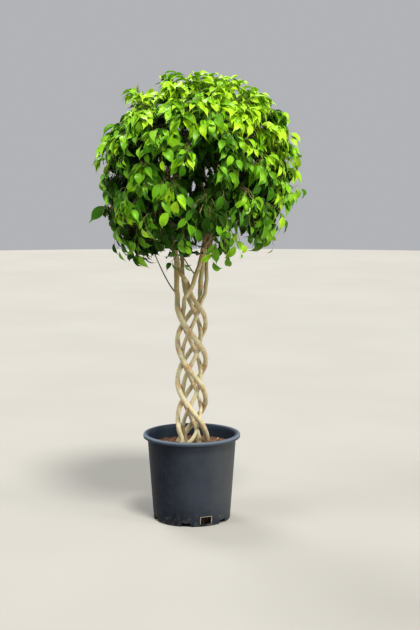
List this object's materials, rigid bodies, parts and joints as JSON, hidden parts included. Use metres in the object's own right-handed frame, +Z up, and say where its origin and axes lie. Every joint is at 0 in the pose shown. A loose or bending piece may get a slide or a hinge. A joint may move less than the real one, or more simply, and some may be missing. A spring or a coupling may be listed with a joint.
{
  "type": "potted braided weeping fig",
  "caption": "Indoor tree in a round nursery pot: slender stems plaited into an open lattice column that forks into a round crown of drooping pointed leaves.",
  "frame": {"origin": "middle of the pot's flat underside, on the surface the pot stands on", "axes": "+Z up, -Y the front that the picture shows, +X to the right seen from the front"},
  "size_m": [0.6156, 0.6112, 1.3626],
  "materials": {
    "pot_plastic": "satin",
    "potting_mix": "matte",
    "bark": "matte",
    "young_bark": "matte",
    "leaves_top": "satin",
    "leaves_high": "satin",
    "leaves_low": "satin"
  },
  "bodies": {
    "root": {"pot": "pot_plastic", "soil": "potting_mix", "stem_1": "bark", "stem_2": "bark", "stem_3": "bark", "stem_4": "bark", "stem_5": "bark", "stem_6": "bark", "bough_low_1": "young_bark", "bough_low_2": "young_bark", "bough_low_3": "young_bark", "bough_low_4": "young_bark", "bough_low_5": "young_bark", "bough_low_6": "young_bark", "bough_high_1": "young_bark", "bough_high_2": "young_bark", "bough_high_3": "young_bark", "bough_high_4": "young_bark", "bough_high_5": "young_bark", "bough_high_6": "young_bark", "bough_top": "young_bark", "side_twig_left": "young_bark", "side_twig_middle": "young_bark", "foliage_low_1": "leaves_low", "foliage_low_2": "leaves_low", "foliage_low_3": "leaves_low", "foliage_low_4": "leaves_low", "foliage_low_5": "leaves_low", "foliage_low_6": "leaves_low", "foliage_high_1": "leaves_high", "foliage_high_2": "leaves_high", "foliage_high_3": "leaves_high", "foliage_high_4": "leaves_high", "foliage_high_5": "leaves_high", "foliage_high_6": "leaves_high", "foliage_top": "leaves_top"}
  },
  "joints": []
}
